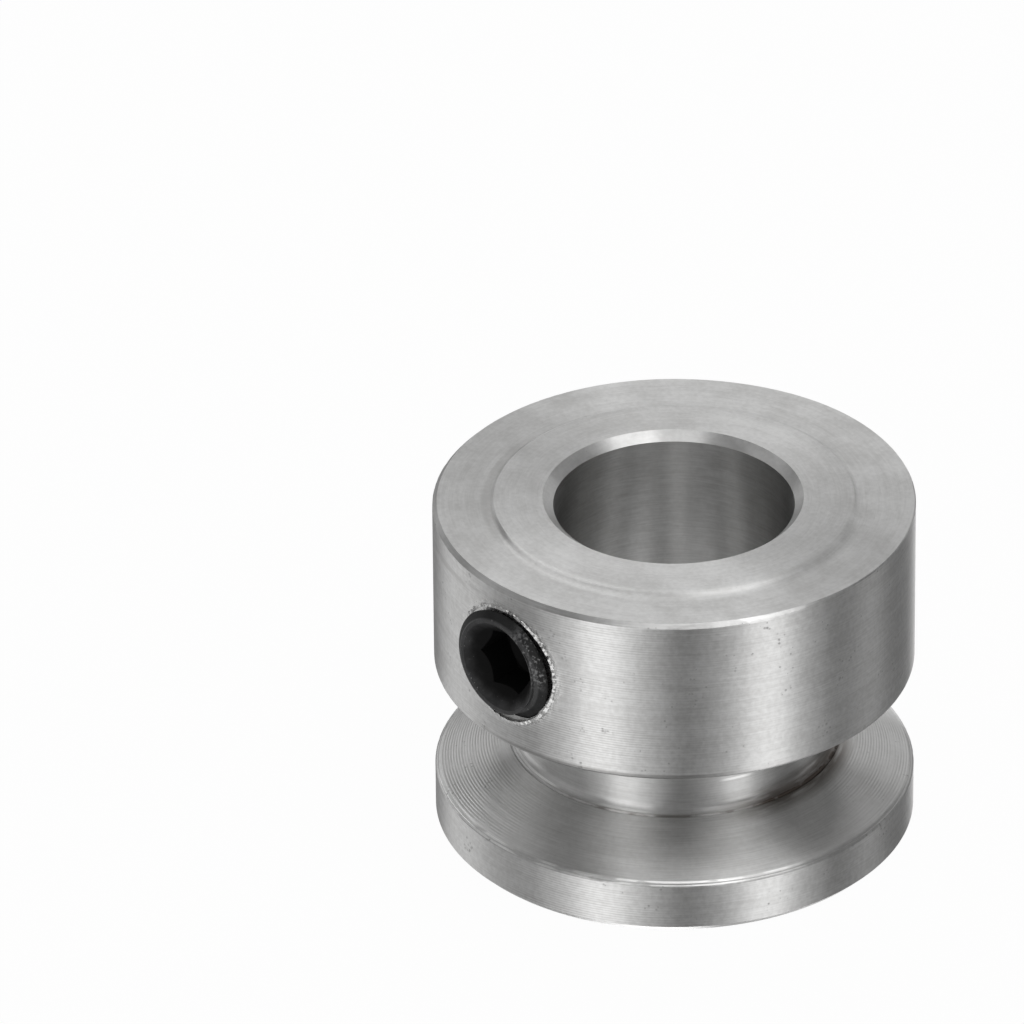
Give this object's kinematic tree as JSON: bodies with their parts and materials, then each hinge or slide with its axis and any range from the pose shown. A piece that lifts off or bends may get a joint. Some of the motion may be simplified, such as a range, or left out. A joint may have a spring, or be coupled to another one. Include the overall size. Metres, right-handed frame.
{
  "type": "round belt pulley",
  "caption": "Turned steel pulley with one wide groove for a round belt, a long hub and a radial set screw that locks it to a shaft.",
  "frame": {"origin": "on the bore's axis, in the plane of the flange's end face, which the pulley stands on", "axes": "+Z along the bore from the flange to the hub; -Y out along the set screw"},
  "size_m": [0.02, 0.0204, 0.015],
  "materials": {
    "turned_steel": "turned, with fine circumferential tool marks",
    "black_oxide_steel": "black oxide, lightly oiled"
  },
  "bodies": {
    "pulley": {"pulley_body": "turned_steel"},
    "set_screw": {"set_screw": "black_oxide_steel"}
  },
  "joints": [
    {"name": "set_screw_travel", "type": "slide", "parent": "pulley", "child": "set_screw", "axis": [0, -1, 0], "range_m": [-0.0008, 0.0048]}
  ]
}
